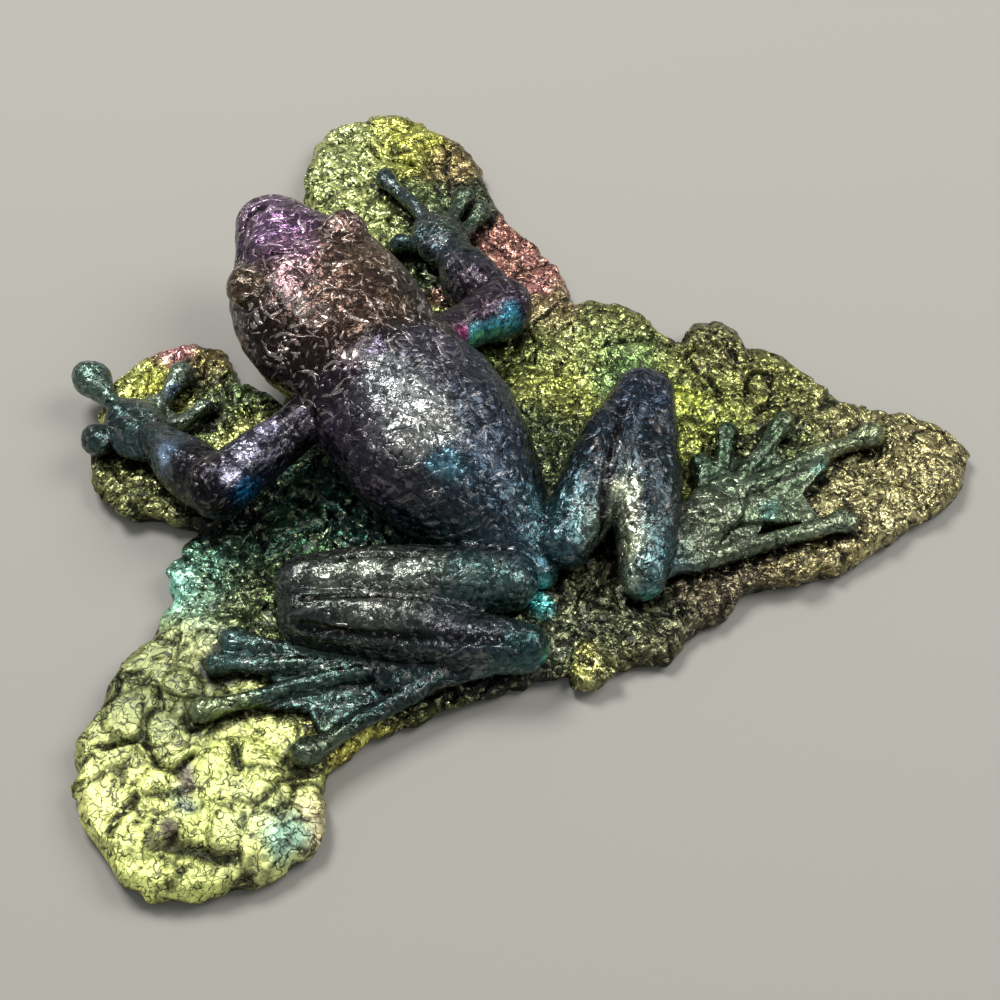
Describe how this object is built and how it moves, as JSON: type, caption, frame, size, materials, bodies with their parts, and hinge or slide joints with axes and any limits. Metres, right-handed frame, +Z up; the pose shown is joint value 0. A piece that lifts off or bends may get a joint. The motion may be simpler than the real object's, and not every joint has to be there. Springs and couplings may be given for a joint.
{
  "type": "animal_figurine",
  "caption": "Cast-metal tree frog figurine with iridescent purple, teal and gold heat tint, sprawled on an uneven thin pad of the metal that ran out under it.",
  "frame": {"origin": "on the face that the pad rests on, under the middle of the frog's back", "axes": "+Y the way the frog faces, +X its right-hand side, +Z up from the resting face"},
  "size_m": [0.1465, 0.1294, 0.0265],
  "materials": {
    "head": "rough cast with a violet and bronze heat tint",
    "trunk": "rough cast with an indigo and silver heat tint",
    "limbs": "rough cast with a dark teal heat tint",
    "digits": "rough cast with a dark green heat tint",
    "pad": "crystalline spill with a yellow-green heat tint"
  },
  "bodies": {
    "root": {"centre_sheet": "pad", "front_lobe": "pad", "head": "head", "left_eye": "head", "left_finger_inner": "digits", "left_finger_long": "digits", "left_finger_outer": "digits", "left_finger_second": "digits", "left_foot": "digits", "left_forearm": "limbs", "left_hand_lobe": "pad", "left_palm": "digits", "left_rear_lobe": "pad", "left_shank": "limbs", "left_thigh": "limbs", "left_toe_inner": "digits", "left_toe_long": "digits", "left_toe_outer": "digits", "left_toe_third": "digits", "left_upper_arm": "limbs", "right_eye": "head", "right_finger_inner": "digits", "right_finger_long": "digits", "right_finger_outer": "digits", "right_finger_second": "digits", "right_foot": "digits", "right_forearm": "limbs", "right_palm": "digits", "right_shank": "limbs", "right_side_lobe": "pad", "right_thigh": "limbs", "right_toe_inner": "digits", "right_toe_long": "digits", "right_toe_outer": "digits", "right_toe_second": "digits", "right_toe_third": "digits", "right_upper_arm": "limbs", "trunk": "trunk"}
  },
  "joints": []
}
